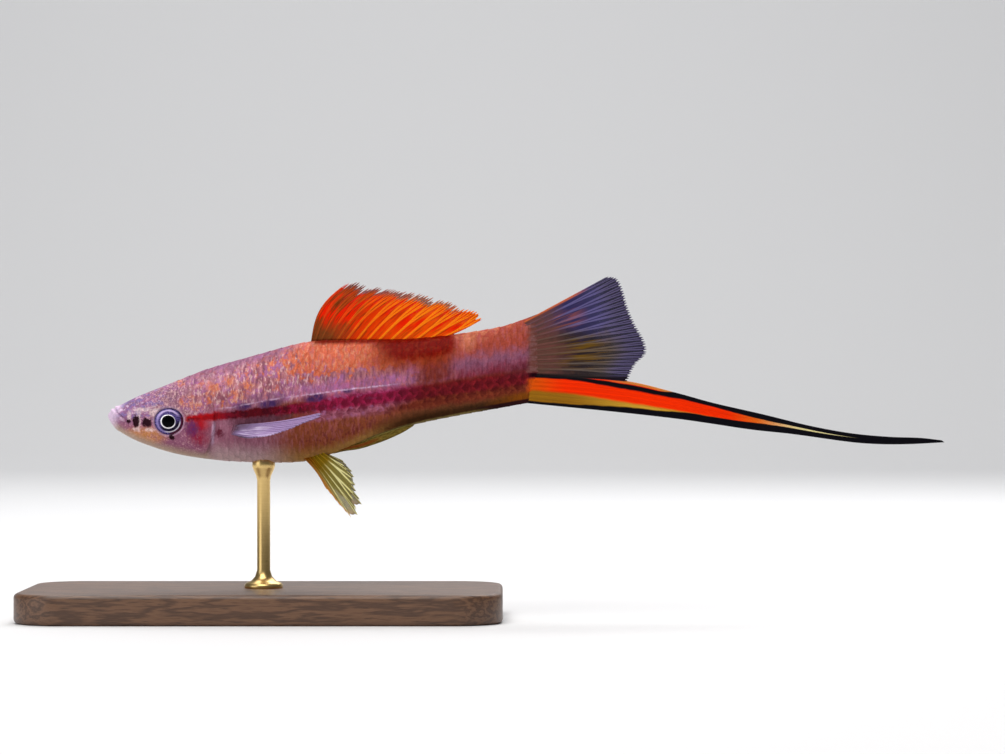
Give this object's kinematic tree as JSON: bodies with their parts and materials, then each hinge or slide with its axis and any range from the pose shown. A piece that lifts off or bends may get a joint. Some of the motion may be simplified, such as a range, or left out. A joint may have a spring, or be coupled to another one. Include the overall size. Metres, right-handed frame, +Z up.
{
  "type": "swordtail fish model on a display stand",
  "caption": "Life-size male swordtail fish with a long sword-like tail, held level above a small rounded wooden base by one thin brass rod.",
  "frame": {"origin": "centre of the underside of the wooden base, straight below the rod", "axes": "+X from the fish's head towards its tail, +Y towards the fish's right side, +Z up"},
  "size_m": [0.1542, 0.042, 0.0571],
  "materials": {
    "head_skin": "glossy wet skin, lilac-pink with gold cheeks",
    "flank_skin": "glossy scaled skin, orange-pink above a crimson stripe",
    "eye": "polished, blue-violet iris with a bright silver ring and black pupil",
    "red_fin": "glossy thin membrane, deep red to orange",
    "sword_fin": "glossy, orange-red to yellow between black borders",
    "smoky_fin": "glossy smoky blue-brown membrane",
    "gold_fin": "glossy golden membrane",
    "lilac_fin": "glossy clear lilac membrane",
    "base_wood": "dark walnut, satin varnish",
    "rod_brass": "satin brass"
  },
  "bodies": {
    "root": {"head": "head_skin", "lower_jaw": "head_skin", "eye_left": "eye", "eye_right": "eye", "gill_cover_left": "flank_skin", "gill_cover_right": "flank_skin", "trunk": "flank_skin", "tail_stalk": "flank_skin", "dorsal_fin": "red_fin", "caudal_fin": "smoky_fin", "sword": "sword_fin", "gonopodium": "gold_fin", "pelvic_fin_left": "gold_fin", "pelvic_fin_right": "gold_fin", "pectoral_fin_left": "lilac_fin", "pectoral_fin_right": "lilac_fin", "stand_base": "base_wood", "stand_rod": "rod_brass"}
  },
  "joints": []
}
